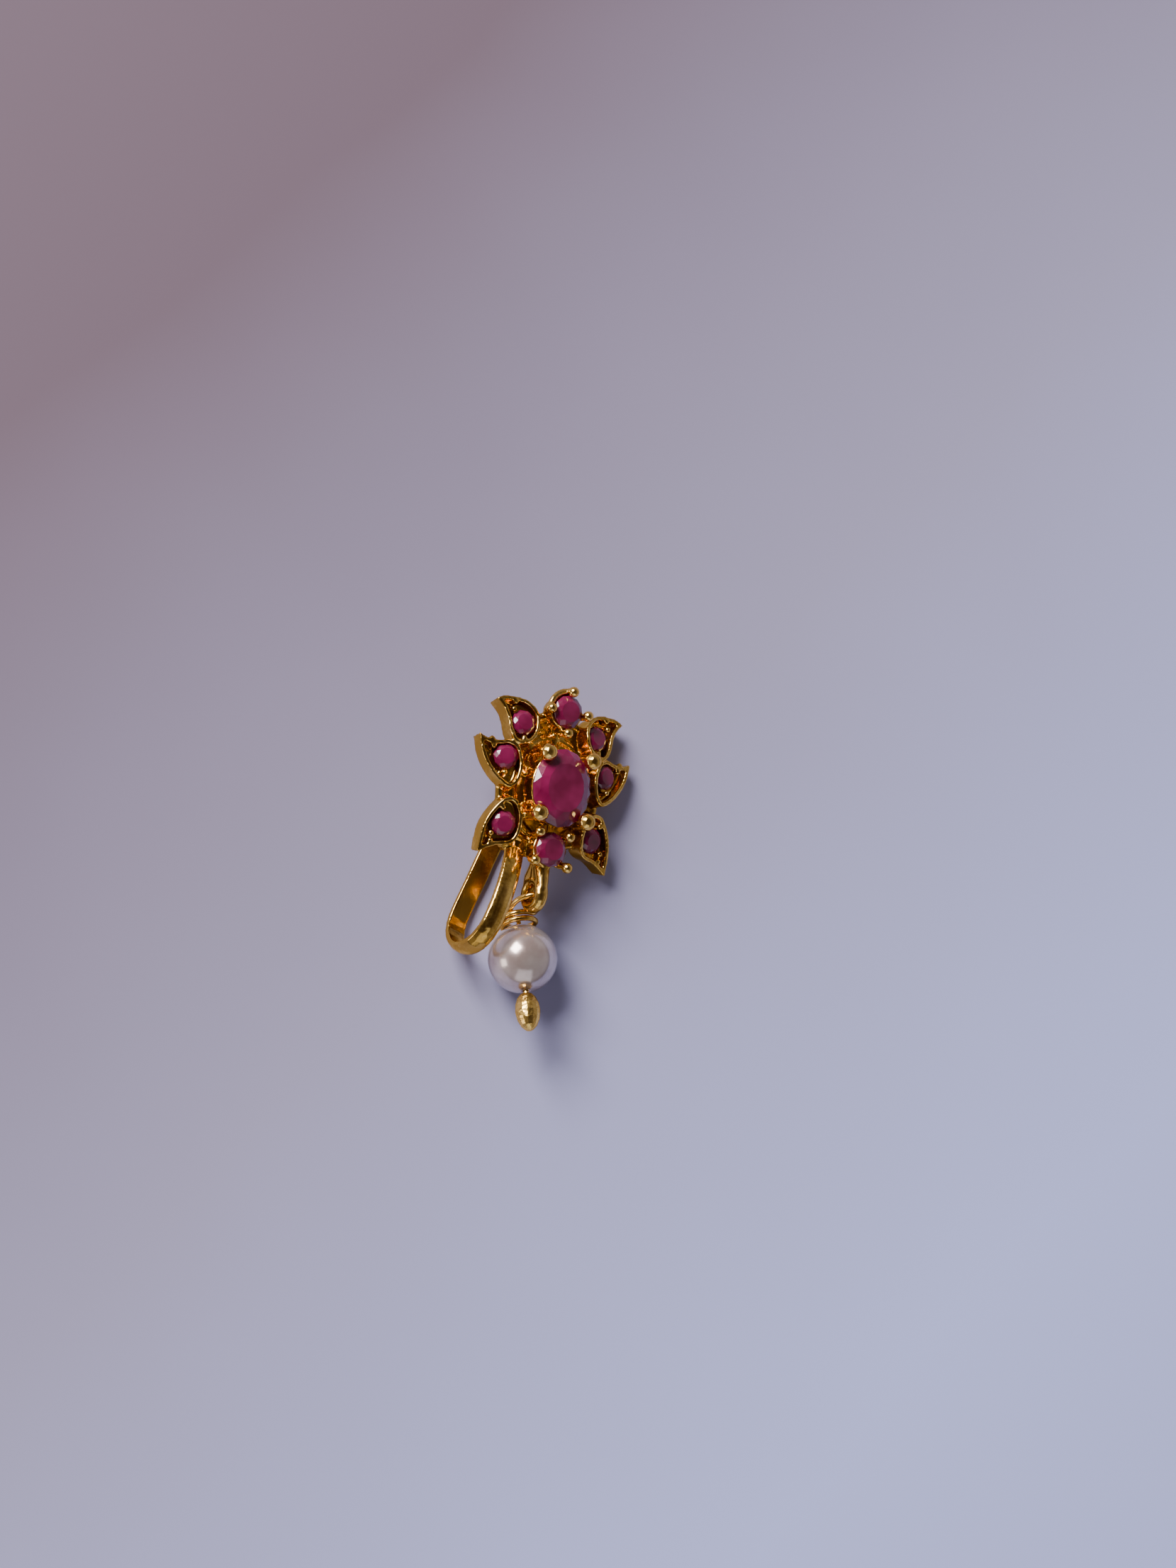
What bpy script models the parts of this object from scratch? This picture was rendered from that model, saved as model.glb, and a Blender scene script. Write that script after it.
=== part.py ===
"""A press-on nath: a cast flower nose ring with ruby stones, a spring clip and a pearl drop.

The flower is drawn in its own frame (x across, y up the flower, z out of its face, with
z = 0 at the girdle of the petal stones), and is then laid down as it rests by itself.
All sizes are in metres.
"""

import math

import bmesh
import bpy
import numpy as np
from mathutils import Matrix, Vector

# Flower
STONE_SPREAD_X = 0.0081
STONE_SPREAD_Y = 0.0095
CENTER_STONE_WIDTH = 0.0046
CENTER_STONE_LENGTH = 0.0054
CENTER_STONE_LIFT = 0.0011
TOP_STONE_DIA = 0.0023
BOTTOM_STONE_DIA = 0.0024
ROUND_STONE_LIFT = 0.0007
PETAL_STONE_DIA = 0.0018
STONE_GAP = 0.00005
PETAL_SCALE = 0.00118
PETAL_TILT = math.radians(13)
PETAL_WALL = 0.00027
RIM_HEIGHT = 0.00033
POCKET_DEPTH = 0.0004
BACK_DEPTH = 0.00105

# Prongs and grain beads
CENTER_BALL_DIA = 0.0013
SMALL_BALL_DIA = 0.0008
GRAIN_DIA = 0.00046
PRONG_SHARE = 0.62
SEAT_DEPTH = 0.0003
RAIL_DIA = 0.00046
RAIL_LEVEL = -0.00012

# Gallery behind the stones
SEAT_WALL = 0.00036
STRUT_DIA = 0.0006
GALLERY_LEVEL = -0.00072
GALLERY_WEB = 0.00045

# Bail under the flower
BAIL_HOLE_DIA = 0.00105
BAIL_SECTION = 0.00078
BAIL_WIDTH = 0.00098
BAIL_DROP = 0.00185
BAIL_BACK = 0.00075
BAIL_ROOT_DIA = 0.00118
BAIL_ROOT_BACK = 0.0005
BAIL_ARM_DIA = 0.001

# Clip band
BAND_WIDTH = 0.00145
BAND_THICKNESS = 0.00046
BAND_DOME = 0.00012
CLIP_TWIST = math.radians(-16.3)
CLIP_LEAN = math.radians(7)
CLIP_GAP = 0.0044
CLIP_FRONT_ARM = 0.0054
CLIP_FRONT_BEND = math.radians(34)
CLIP_PAD = 0.0034
CLIP_END = 0.0042
CLIP_END_BEND = math.radians(12)
CLIP_ROOT_INSET = 0.0007
CLIP_ROOT_BACK = 0.0006
CLIP_OFFSET = -0.00055
SOLDER_DIA = 0.0012

# Drop
PEARL_DIA = 0.00476
WIRE_DIA = 0.0004
BORE_GAP = 0.00008
END_BEAD_DIA = 0.00175
END_BEAD_LENGTH = 0.0028
LOOP_WIDTH = 0.002
LOOP_LENGTH = 0.0026
WRAP_DIA = 0.0024
WRAP_TURNS = 1.6
WRAP_GAP = 0.00006
PIN_TILT = math.radians(22)
PIN_HEADING = math.radians(-84)
LOOP_HEADING = math.radians(-110)
FLOWER_HEADING = math.radians(-4)
NECK_LENGTH = 0.00075
PUT_DOWN = np.array([0.555, -0.085, -0.828])
HULL_SCALE = 1000.0

BALL_SIDES = 10
TUBE_SIDES = 8
SEAT_SIDES = 28

# Petal outlines, as shares of PETAL_SCALE from the stone's centre, for the left-hand petals.
# The first point of each is the sharp tip, and the others run round it anticlockwise.
PETAL_OUTLINES = {
    "upper": [
        (-1.82, 1.14), (-1.36, 0.64), (-1.10, 0.08), (-0.97, -0.51), (-0.72, -1.06),
        (-0.30, -1.36), (0.25, -1.27), (0.72, -0.85), (0.95, -0.17), (0.89, 0.59),
        (0.42, 1.14), (-0.17, 1.37), (-0.85, 1.40), (-1.36, 1.36),
    ],
    "middle": [
        (-1.78, 1.10), (-1.64, 0.42), (-1.37, -0.30), (-0.93, -0.93), (-0.38, -1.46),
        (0.30, -1.82), (0.81, -1.44), (1.02, -0.68), (0.97, 0.08), (0.68, 0.72),
        (0.08, 0.97), (-0.51, 0.85), (-1.14, 0.85),
    ],
    "lower": [
        (-1.36, -1.86), (-0.81, -1.53), (-0.25, -1.27), (0.38, -1.14), (0.81, -0.85),
        (1.02, -0.25), (1.02, 0.51), (0.76, 1.19), (0.30, 1.57), (-0.25, 1.48),
        (-0.72, 0.97), (-1.10, 0.30), (-1.31, -0.42), (-1.36, -1.10),
    ],
}

# Where each left-hand petal stone lies, as shares of the stone spreads from the centre, with
# the directions in degrees of the grain beads that hold it and how far out each one stands.
PETALS = [
    {"name": "upper", "across": -0.368, "up": 0.427, "beads": [(137, 1.0), (118, 1.34), (-90, 1.0)]},
    {"name": "middle", "across": -0.5, "up": 0.161, "beads": [(150, 1.0), (138, 1.36), (-93, 1.0)]},
    {"name": "lower", "across": -0.44, "up": -0.316, "beads": [(106, 1.0), (222, 1.0), (238, 1.34)]},
]
TOP_SHARE = 0.557
BOTTOM_SHARE = -0.443

# Prong directions in degrees, and how far each ball stands out past the girdle, as a share of
# the ball.
CENTER_PRONGS = [(50, 0.22), (130, 0.22), (227, 0.22), (313, 0.22)]
TOP_PRONGS = [(90, 0.28), (180, 0.44), (270, 0.43), (358, 0.33)]
TOP_RAIL = (88, 182)
BOTTOM_PRONGS = [(41, 0.48), (139, 0.48), (215, 0.5), (322, 0.65)]

# The solder lumps on the clip's root, as shares of SOLDER_DIA: place from it, and size.
SOLDER_LUMPS = [((-0.5, 0.33, 0.0), 1.08), ((0.17, 0.42, 0.08), 1.0), ((0.58, 0.08, 0.0), 0.92)]

UP = np.array([0.0, 0.0, 1.0])


def clear_scene():
    for thing in list(bpy.data.objects):
        bpy.data.objects.remove(thing, do_unlink=True)


def material(name, colour, roughness, metallic):
    made = bpy.data.materials.new(name)
    made.use_nodes = True
    shader = made.node_tree.nodes["Principled BSDF"]
    shader.inputs["Base Color"].default_value = (*colour, 1.0)
    shader.inputs["Roughness"].default_value = roughness
    shader.inputs["Metallic"].default_value = metallic
    return made


def add_object(name, shape, finish, parent=None, smooth_angle=None):
    """An object from a (points, faces) shape, with its faces turned outwards."""
    points, faces = shape
    mesh = bpy.data.meshes.new(name)
    mesh.from_pydata([tuple(map(float, p)) for p in points], [], [tuple(map(int, f)) for f in faces])
    working = bmesh.new()
    working.from_mesh(mesh)
    bmesh.ops.recalc_face_normals(working, faces=working.faces)
    working.to_mesh(mesh)
    working.free()
    mesh.materials.append(finish)
    if smooth_angle is not None:
        mesh.shade_smooth()
        mesh.set_sharp_from_angle(angle=smooth_angle)
    made = bpy.data.objects.new(name, mesh)
    bpy.context.scene.collection.objects.link(made)
    if parent is not None:
        made.parent = parent
    return made


def loft(rings, closed=False):
    """Rings of equal size joined in order, capped at both ends or closed into a loop."""
    rings = np.asarray(rings, float)
    count, sides = rings.shape[:2]
    faces = []
    for i in range(count if closed else count - 1):
        j = (i + 1) % count
        for k in range(sides):
            m = (k + 1) % sides
            faces.append((i * sides + k, i * sides + m, j * sides + m, j * sides + k))
    if not closed:
        faces.append(tuple(range(sides))[::-1])
        faces.append(tuple(range((count - 1) * sides, count * sides)))
    return rings.reshape(-1, 3), faces


def circle(radius_x, radius_y, sides, phase=0.0):
    turn = 2 * math.pi * (np.arange(sides) + phase) / sides
    return np.stack([radius_x * np.cos(turn), radius_y * np.sin(turn)], 1)


def level_ring(outline, height):
    return np.column_stack([outline, np.full(len(outline), height)])


def turned(profile, sides):
    """A profile of (radius, height) pairs turned round z; a zero radius closes to a point."""
    points, rows, faces = [], [], []
    for radius, height in profile:
        if radius == 0:
            rows.append([len(points)] * sides)
            points.append((0.0, 0.0, height))
        else:
            rows.append(list(range(len(points), len(points) + sides)))
            points += [tuple(p) for p in level_ring(circle(radius, radius, sides), height)]
    for low, high in zip(rows, rows[1:]):
        for k in range(sides):
            m = (k + 1) % sides
            corners = list(dict.fromkeys([low[k], low[m], high[m], high[k]]))
            if len(corners) > 2:
                faces.append(corners)
    return np.array(points), faces


def turned_ring(profile, sides):
    """A closed profile of (radius, height) pairs turned round z into a drilled body."""
    turn = 2 * math.pi * np.arange(sides) / sides
    rings = [[(r * math.cos(t), r * math.sin(t), h) for r, h in profile] for t in turn]
    return loft(rings, closed=True)


def ball(centre, diameter, sides=BALL_SIDES):
    """A round ball, turned from a half circle."""
    rows = sides // 2 + 1
    angle = np.linspace(-math.pi / 2, math.pi / 2, rows)
    profile = [(diameter / 2 * math.cos(a), diameter / 2 * math.sin(a)) for a in angle[1:-1]]
    shape = turned([(0, -diameter / 2), *profile, (0, diameter / 2)], sides)
    return shape[0] + np.asarray(centre, float), shape[1]


def frame_along(path, closed=False):
    """Tangents of a path, and a side direction carried along it without twist."""
    path = np.asarray(path, float)
    if closed:
        tangent = np.roll(path, -1, 0) - np.roll(path, 1, 0)
    else:
        tangent = np.gradient(path, axis=0)
    tangent /= np.linalg.norm(tangent, axis=1)[:, None]
    first = np.cross(tangent[0], UP)
    if np.linalg.norm(first) < 0.1:
        first = np.cross(tangent[0], [1.0, 0.0, 0.0])
    side = [first / np.linalg.norm(first)]
    for t in tangent[1:]:
        carried = side[-1] - t * (t @ side[-1])
        side.append(carried / np.linalg.norm(carried))
    return tangent, np.array(side)


def tube(path, radii, sides=TUBE_SIDES, closed=False):
    """A round bar of the given radius, or radii, along a path."""
    path = np.asarray(path, float)
    tangent, side = frame_along(path, closed)
    third = np.cross(tangent, side)
    radii = np.broadcast_to(radii, len(path))
    turn = 2 * math.pi * np.arange(sides) / sides
    rings = [
        p + r * (np.outer(np.cos(turn), s) + np.outer(np.sin(turn), t))
        for p, r, s, t in zip(path, radii, side, third)
    ]
    return loft(rings, closed)


def flat_turn(direction_degrees):
    angle = math.radians(direction_degrees)
    return np.array([math.cos(angle), math.sin(angle)])


def smooth_outline(points, steps=3):
    """A closed outline through the points, sharp at the first one (Catmull-Rom between them)."""
    points = np.asarray(points, float)
    count = len(points)
    made = []
    for i in range(count):
        here, after = points[i], points[(i + 1) % count]
        before = 2 * here - after if i == 0 else points[i - 1]
        beyond = 2 * after - here if i == count - 1 else points[(i + 2) % count]
        for t in np.arange(steps) / steps:
            made.append(0.5 * (
                2 * here + (after - before) * t
                + (2 * before - 5 * here + 4 * after - beyond) * t * t
                + (3 * here - before - 3 * after + beyond) * t**3
            ))
    return np.array(made)


def set_back(outline, wall):
    """The outline moved inwards by the wall, without the points that the tip leaves no room for."""
    step = np.roll(outline, -1, 0) - np.roll(outline, 1, 0)
    inwards = np.stack([-step[:, 1], step[:, 0]], 1) / np.linalg.norm(step, axis=1)[:, None]
    area = np.sum(outline[:, 0] * np.roll(outline[:, 1], -1) - outline[:, 1] * np.roll(outline[:, 0], -1))
    inner = outline + inwards * wall * math.copysign(1.0, area)
    ends = np.roll(outline, -1, 0)
    run = ends - outline
    share = np.sum((inner[:, None] - outline[None]) * run[None], 2) / np.sum(run * run, 1)
    near = outline[None] + np.clip(share, 0, 1)[:, :, None] * run[None]
    clear = np.linalg.norm(inner[:, None] - near, axis=2).min(1)
    return inner[clear > wall * 0.93]


def cut_stone(width, length, crown, pavilion, facets):
    """A cut stone with its girdle at z = 0: a flat table, a crown, and a pavilion to a point."""
    half = np.array([width / 2, length / 2])
    girdle = circle(*half, facets)
    table = circle(*(half * 0.6), facets // 2, 0.5)
    edge = crown * 0.1
    points = [(0.0, 0.0, -pavilion)]
    points += [tuple(p) for p in level_ring(girdle, -edge)]
    points += [tuple(p) for p in level_ring(girdle, edge)]
    points += [tuple(p) for p in level_ring(table, crown)]
    low, high, top = 1, 1 + facets, 1 + 2 * facets
    faces = [tuple(range(top, top + facets // 2))]
    for k in range(facets):
        m = (k + 1) % facets
        faces.append((0, low + m, low + k))
        faces.append((low + k, low + m, high + m, high + k))
    for k in range(facets // 2):
        before, middle, after = 2 * k, 2 * k + 1, (2 * k + 2) % facets
        corner, following = top + k, top + (k + 1) % (facets // 2)
        faces += [(high + before, high + middle, corner), (high + middle, high + after, corner)]
        faces.append((high + after, following, corner))
    return np.array(points), faces


def flower_place(across, up, height):
    return np.array([across * STONE_SPREAD_X, up * STONE_SPREAD_Y, height])


def petal_matrix(row):
    """The petal's own frame: at its stone, tilted so that its outer end slopes to the back."""
    centre = flower_place(row["across"], row["up"], 0.0)
    outwards = Vector((centre[0], centre[1], 0.0)).normalized()
    axis = Vector((-outwards.y, outwards.x, 0.0))
    return Matrix.Translation(centre) @ Matrix.Rotation(PETAL_TILT, 4, axis)


def moved(shape, matrix):
    rotation = np.array(matrix.to_3x3())
    return shape[0] @ rotation.T + np.array(matrix.translation), shape[1]


def prism(outline, low, high):
    return loft([level_ring(outline, low), level_ring(outline, high)])


def ball_prong(stone_half, crown_slope, direction, stand_out, ball_dia, foot_level):
    """A post beside the girdle with a ball on it, the ball held clear above the crown."""
    way = flat_turn(direction)
    reach = 1 / math.hypot(way[0] / stone_half[0], way[1] / stone_half[1])
    post = ball_dia * PRONG_SHARE / 2
    clearance = ball_dia / 2 + STONE_GAP
    lift = (clearance - stand_out * math.sin(crown_slope)) / math.cos(crown_slope)
    head = np.array([*(way * (reach + stand_out)), lift])
    beside = way * (reach + post + STONE_GAP)
    foot = np.array([*(way * reach * 0.84), foot_level * 0.8])
    knee = np.array([*beside, -ball_dia / 2])
    neck = np.array([*beside, lift * 0.6])
    stem = tube([foot, knee, neck, head], [post * 1.1, post * 1.1, post, post * 0.9])
    return stem, ball(head, ball_dia)


def stone_cut(stone_half, crown, pavilion, wall_low, wall_high):
    """The seat's hole: the stone's own pavilion, a clearance wider, and straight through below."""
    slope = stone_half.min() / pavilion
    ledge = wall_low + (wall_high - wall_low) * 0.35
    rings = []
    for height in (wall_low - SEAT_WALL, ledge, 0.0, crown):
        depth = min(max(-height, 0.0), -ledge)
        shrink = depth * slope - STONE_GAP * math.hypot(1, slope)
        rings.append(level_ring(circle(*(stone_half - shrink), SEAT_SIDES), height))
    return loft(rings)


def seat_parts(centre, stone_half, crown, pavilion, low, prongs, ball_dia):
    """The wall under one of the three large stones, its hole, and its prongs."""
    top = -SEAT_DEPTH
    slope = stone_half.min() / pavilion
    outer_high = stone_half + top * slope + SEAT_WALL
    outer_low = outer_high * 0.86
    wall = loft([
        level_ring(circle(*outer_low, SEAT_SIDES), low),
        level_ring(circle(*outer_high, SEAT_SIDES), top),
    ])
    hole = stone_cut(stone_half, crown, pavilion, low, top)
    crown_slope = math.atan2(crown, 0.4 * stone_half.min())
    posts = []
    for direction, share in prongs:
        stand_out = share * ball_dia
        stem, head = ball_prong(stone_half, crown_slope, direction, stand_out, ball_dia, low * 0.9)
        posts += [stem, head]
    shift = Matrix.Translation(centre)
    return moved(wall, shift), moved(hole, shift), [moved(p, shift) for p in posts]


def rail_part(centre, stone_half):
    """The rim beside the top stone that joins its left prong to its top one."""
    radius = stone_half[0] + STONE_GAP + RAIL_DIA / 2
    turns = np.radians(np.linspace(*TOP_RAIL, 9))
    path = [centre + [radius * math.cos(t), radius * math.sin(t), RAIL_LEVEL] for t in turns]
    return tube(path, RAIL_DIA / 2)


def petal_pavilion():
    return PETAL_STONE_DIA * 0.45


def petal_parts(row):
    """A left-hand petal cup: its block, pocket, stone's hole and grain beads."""
    outline = smooth_outline(np.array(PETAL_OUTLINES[row["name"]]) * PETAL_SCALE)
    inner = set_back(outline, PETAL_WALL)
    block = prism(outline, -BACK_DEPTH, RIM_HEIGHT)
    pocket = prism(inner, -POCKET_DEPTH, RIM_HEIGHT * 2)
    radius = PETAL_STONE_DIA / 2
    at_floor = radius * (1 - POCKET_DEPTH / petal_pavilion()) + STONE_GAP * 1.5
    hole = loft([
        level_ring(circle(at_floor, at_floor, 16), height)
        for height in (-BACK_DEPTH * 1.5, -POCKET_DEPTH * 0.8)
    ])
    bead = GRAIN_DIA / 2
    lift = bead * 0.7
    away = radius + math.sqrt((bead + STONE_GAP) ** 2 - lift**2)
    beads = []
    for direction, share in row["beads"]:
        way = flat_turn(direction) * away * share
        foot = np.array([*(way * 1.03), -POCKET_DEPTH * 1.4])
        head = np.array([*way, lift])
        beads.append(tube([foot, head], [bead * 0.8, bead * 0.62], 6))
        beads.append(ball(head, GRAIN_DIA, 8))
    place = petal_matrix(row)
    return [moved(s, place) for s in (block, pocket, hole)], [moved(b, place) for b in beads]


def mirrored(shape):
    """The same shape on the other side of the flower."""
    return shape[0] * [-1.0, 1.0, 1.0], shape[1]


def gallery_parts(seats):
    """The back of the flower: a thin web between the cups, with a loop and struts raised on it."""
    half = np.array([STONE_SPREAD_X, STONE_SPREAD_Y]) * [0.36, 0.37]
    loop_path = level_ring(circle(*half, 32), GALLERY_LEVEL)
    pieces = [tube(loop_path, STRUT_DIA / 2, 6, closed=True)]
    ends = []
    for row in PETALS:
        for side in (1, -1):
            end = flower_place(row["across"] * side, row["up"], GALLERY_LEVEL)
            ends.append(end)
    ends += [centre * [1, 1, 0] + [0, 0, GALLERY_LEVEL] for centre in seats]
    for end in ends:
        inner = end * [0.34, 0.3, 1.0]
        outer = end * [0.8, 0.82, 1.0]
        pieces.append(tube([inner, outer], [STRUT_DIA * 0.5, STRUT_DIA * 0.6], 6))
    left = [flower_place(r["across"], r["up"], GALLERY_LEVEL) for r in PETALS]
    top, bottom = (centre * [1, 1, 0] + [0, 0, GALLERY_LEVEL] for centre in seats)
    chain = [top, *left, bottom]
    outline = [top, *left, bottom, *[p * [-1, 1, 1] for p in reversed(left)]]
    back = GALLERY_LEVEL - STRUT_DIA / 2
    pieces.append(prism(np.array(outline)[:, :2] * 0.96, back, back + GALLERY_WEB))
    for here, after in zip(chain, chain[1:]):
        start, end = here + (after - here) * 0.25, after + (here - after) * 0.25
        bridge = tube([start, end], STRUT_DIA * 0.52, 6)
        pieces += [bridge, mirrored(bridge)]
    return pieces


def bail_centre():
    bottom = BOTTOM_SHARE * STONE_SPREAD_Y - BOTTOM_STONE_DIA / 2
    return np.array([0.0, bottom - BAIL_DROP, -BAIL_BACK])


def bail_parts():
    """The heavy ring below the flower, its plane edge-on to the face, with its two thick arms."""
    middle = bail_centre()
    radius = (BAIL_HOLE_DIA + BAIL_SECTION) / 2
    turn = 2 * math.pi * np.arange(20) / 20
    section = circle(BAIL_SECTION / 2, BAIL_WIDTH / 2, 10)
    rings = []
    for t in turn:
        out = np.array([0.0, math.cos(t), math.sin(t)])
        rings.append([middle + out * (radius + r) + np.array([w, 0, 0]) for r, w in section])
    ring = loft(rings, closed=True)
    top = middle[1] + radius
    root = np.array([0.0, top + BAIL_DROP * 0.55, -BAIL_ROOT_BACK])
    bars = [tube([root, [0, top, middle[2]]], [BAIL_ROOT_DIA / 2, BAIL_SECTION / 2], 10)]
    for side in (1, -1):
        path = [
            root + [0, 0, side * BAIL_ROOT_DIA * 0.2],
            [0, top + BAIL_SECTION * 0.25, middle[2] + side * radius * 0.76],
            [0, top - BAIL_SECTION * 0.77, middle[2] + side * radius],
        ]
        bars.append(tube(path, [BAIL_ROOT_DIA / 2, BAIL_ARM_DIA / 2, BAIL_SECTION / 2], 10))
    return [ring, *bars]


def clip_frame():
    """The clip's own directions: across the band, along its arms, and out towards the face."""
    twist = Matrix.Rotation(CLIP_TWIST, 3, "Z")
    lean = Matrix.Rotation(CLIP_LEAN, 3, "X")
    turn = np.array(twist @ lean)
    return turn[:, 0], turn[:, 1], turn[:, 2]


def clip_path():
    """The inner face of the clip band in its own plane, as rows of (along, out, heading)."""
    bend_radius = CLIP_GAP / 2
    place = np.array([clip_root()[0], clip_root()[1]])
    heading = math.pi - CLIP_FRONT_BEND
    route = [
        (CLIP_FRONT_ARM, CLIP_FRONT_BEND, 5),
        (math.pi * bend_radius, math.pi, 14),
        (CLIP_PAD * 0.25, 0.0, 1),
        (CLIP_PAD, 0.0, 1),
        (CLIP_END * 0.5, CLIP_END_BEND * 0.5, 3),
        (CLIP_END * 0.5, -CLIP_END_BEND, 4),
    ]
    rows = [(*place, heading)]
    for length, turn, steps in route:
        for _ in range(steps):
            middle = heading + turn / steps / 2
            place = place + length / steps * np.array([math.cos(middle), math.sin(middle)])
            heading += turn / steps
            rows.append((*place, heading))
    return rows


def clip_root():
    """Where the front arm is soldered on, along and out in the clip's plane, and its offset across."""
    bottom = BOTTOM_SHARE * STONE_SPREAD_Y
    return bottom - CLIP_ROOT_INSET, -CLIP_ROOT_BACK, CLIP_OFFSET


def clip_band():
    """The band swept along the clip's path: flat inside, slightly domed outside."""
    across, along, out = clip_frame()
    offset = clip_root()[2]
    half = BAND_WIDTH / 2
    section = [
        (-half, 0.0), (half, 0.0), (half, BAND_THICKNESS * 0.75),
        (half * 0.5, BAND_THICKNESS + BAND_DOME * 0.6), (0.0, BAND_THICKNESS + BAND_DOME),
        (-half * 0.5, BAND_THICKNESS + BAND_DOME * 0.6), (-half, BAND_THICKNESS * 0.75),
    ]
    rings = []
    for row_along, row_out, heading in clip_path():
        outer = np.array([math.sin(heading), -math.cos(heading)])
        ring = []
        for width, depth in section:
            spot = np.array([row_along, row_out]) + outer * depth
            ring.append(across * (offset + width) + along * spot[0] + out * spot[1])
        rings.append(ring)
    return loft(rings)


def solder_parts():
    """The rough lumps of solder that hold the clip's front arm to the cups beside it."""
    across, along, out = clip_frame()
    root = across * clip_root()[2] + along * clip_root()[0] + out * clip_root()[1]
    return [ball(root + np.array(shift) * SOLDER_DIA, size * SOLDER_DIA) for shift, size in SOLDER_LUMPS]


def setting_shapes():
    """What the cast setting is made of: the blocks, what is cut out of them, and what is added."""
    blocks, cuts, added = [], [], []
    for row in PETALS:
        (block, pocket, hole), beads = petal_parts(row)
        blocks += [block, mirrored(block)]
        cuts += [pocket, mirrored(pocket), hole, mirrored(hole)]
        added += beads + [mirrored(bead) for bead in beads]
    for stone in large_stones():
        wall, hole, posts = seat_parts(
            stone["centre"], stone["half"], stone["crown"], stone["pavilion"],
            -BACK_DEPTH - stone["centre"][2], stone["prongs"], stone["ball"],
        )
        blocks.append(wall)
        cuts.append(hole)
        added += posts
        if stone["name"] == "top_stone":
            added.append(rail_part(stone["centre"], stone["half"]))
    blocks += gallery_parts([flower_place(0, TOP_SHARE, 0.0), flower_place(0, BOTTOM_SHARE, 0.0)])
    added += bail_parts() + [clip_band()] + solder_parts()
    return blocks, cuts, added


def large_stones():
    rows = [
        ("center_stone", 0.0, CENTER_STONE_LIFT, CENTER_STONE_WIDTH, CENTER_STONE_LENGTH, CENTER_PRONGS),
        ("top_stone", TOP_SHARE, ROUND_STONE_LIFT, TOP_STONE_DIA, TOP_STONE_DIA, TOP_PRONGS),
        ("bottom_stone", BOTTOM_SHARE, ROUND_STONE_LIFT, BOTTOM_STONE_DIA, BOTTOM_STONE_DIA, BOTTOM_PRONGS),
    ]
    return [
        {
            "name": name,
            "centre": flower_place(0.0, up, lift),
            "half": np.array([width, length]) / 2,
            "crown": width * (0.13 if name == "center_stone" else 0.17),
            "pavilion": width * (0.33 if name == "center_stone" else 0.45),
            "facets": 24 if name == "center_stone" else 16,
            "prongs": prongs,
            "ball": CENTER_BALL_DIA if name == "center_stone" else SMALL_BALL_DIA,
        }
        for name, up, lift, width, length, prongs in rows
    ]


def cast(name, blocks, cuts, added, finish, parent):
    """One solid: the blocks joined, the cuts taken out of them, and the rest joined on."""
    body = add_object(name, blocks[0], finish, parent)
    steps = [("UNION", blocks[1:]), ("DIFFERENCE", cuts), ("UNION", added)]
    for number, (operation, shapes) in enumerate(steps):
        group = bpy.data.collections.new(f"{name} step {number + 1}")
        bpy.context.scene.collection.children.link(group)
        for count, shape in enumerate(shapes):
            helper = add_object(f"{name}_step{number + 1}_{count + 1}", shape, finish, parent)
            bpy.context.scene.collection.objects.unlink(helper)
            group.objects.link(helper)
            helper.hide_render = True
            helper.display_type = "WIRE"
        step = body.modifiers.new(operation.title(), "BOOLEAN")
        step.operand_type = "COLLECTION"
        step.collection = group
        step.operation = operation
        step.solver = "MANIFOLD"
    return body


def volume_centre(shapes):
    """The centre of the shapes' whole volume, each one closed."""
    total, moment = 0.0, np.zeros(3)
    for points, faces in shapes:
        volume, first = 0.0, np.zeros(3)
        middle = points.mean(0)
        for face in faces:
            corners = points[list(face)] - middle
            for b, c in zip(corners[1:-1], corners[2:]):
                share = np.dot(corners[0], np.cross(b, c)) / 6
                volume += share
                first += share * (corners[0] + b + c) / 4
        total += abs(volume)
        moment += abs(volume) * middle + first * (1 if volume > 0 else -1)
    return moment / total


def resting_turn(shapes):
    """The turn that lays the setting on the three points it rests on by itself.

    These are the corners of the face of its convex hull that lies under its centre of mass,
    out of those that face within reach of the way it was put down.
    """
    points = np.vstack([shape[0] for shape in shapes])
    centre = volume_centre(shapes)
    hull = bmesh.new()
    for point in points:
        hull.verts.new(point * HULL_SCALE)
    bmesh.ops.convex_hull(hull, input=hull.verts, use_existing_faces=False)
    best, down = -1.0, PUT_DOWN
    for face in hull.faces:
        if len(face.verts) != 3 or face.calc_area() < 1e-6:
            continue
        a, b, c = (np.array(v.co) / HULL_SCALE for v in face.verts)
        normal = np.cross(b - a, c - a)
        normal /= np.linalg.norm(normal)
        if normal @ (a - centre) < 0:
            normal = -normal
        foot = centre + normal * (normal @ (a - centre))
        sides = [np.cross(q - p, foot - p) @ np.cross(b - a, c - a) for p, q in ((a, b), (b, c), (c, a))]
        if min(sides) >= 0 and normal @ PUT_DOWN > best:
            best, down = normal @ PUT_DOWN, normal
    hull.free()
    up = -down
    across = np.array([1.0, 0.0, 0.0]) - up * up[0]
    across /= np.linalg.norm(across)
    level = np.array([across, np.cross(up, across), up])
    return np.array(Matrix.Rotation(FLOWER_HEADING, 3, "Z")) @ level


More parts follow.
